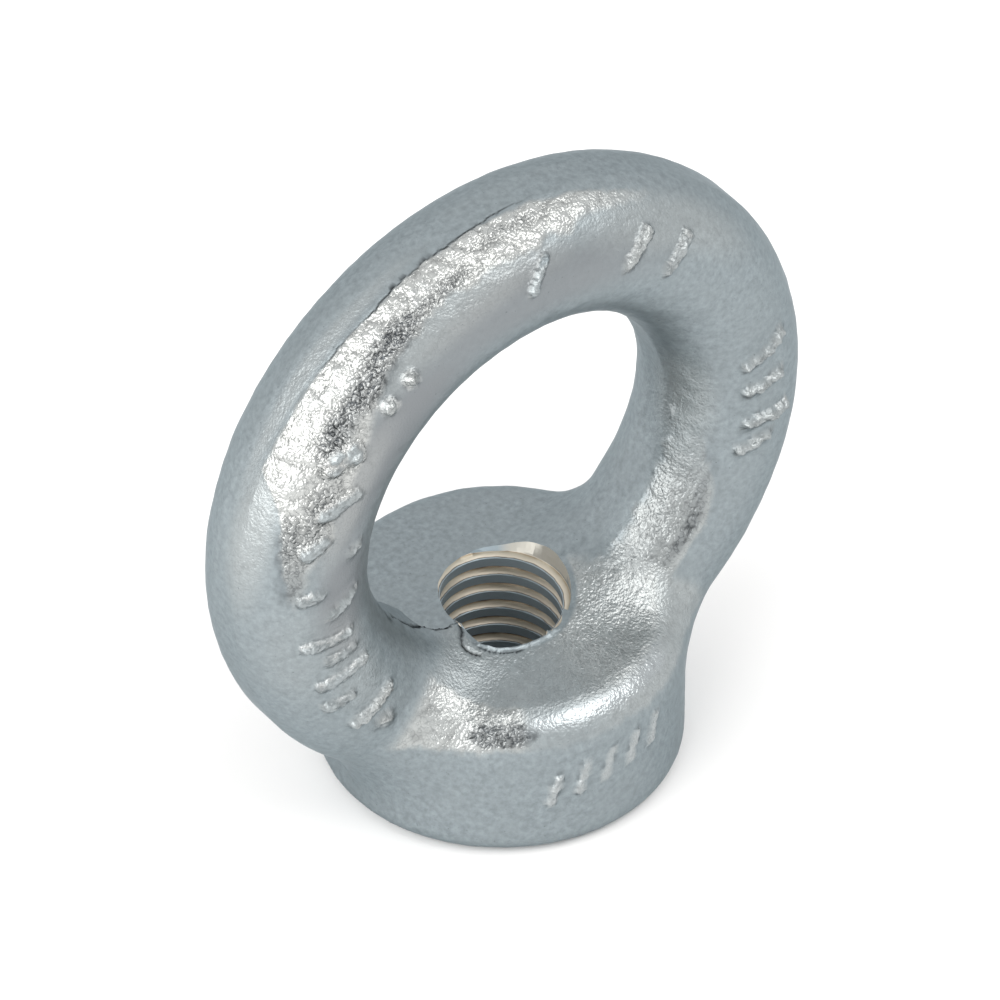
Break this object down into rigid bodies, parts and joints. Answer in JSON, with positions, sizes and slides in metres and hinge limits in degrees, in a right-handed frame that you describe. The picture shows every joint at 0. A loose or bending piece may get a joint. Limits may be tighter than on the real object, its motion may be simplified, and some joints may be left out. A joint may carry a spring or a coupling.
{
  "type": "lifting eye nut",
  "caption": "Forged lifting eye nut: a round eye for a hook or shackle on a threaded collar that screws onto a stud.",
  "frame": {"origin": "on the thread's axis at the collar's flat seating face", "axes": "+Z along the thread's axis, up through the eye; the eye lies in the XZ plane and its opening runs along Y"},
  "size_m": [0.0472, 0.025, 0.0484],
  "materials": {
    "zinc_plated_steel": "satin zinc plating over a drop-forged skin"
  },
  "bodies": {
    "root": {"eye_nut": "zinc_plated_steel"}
  },
  "joints": []
}
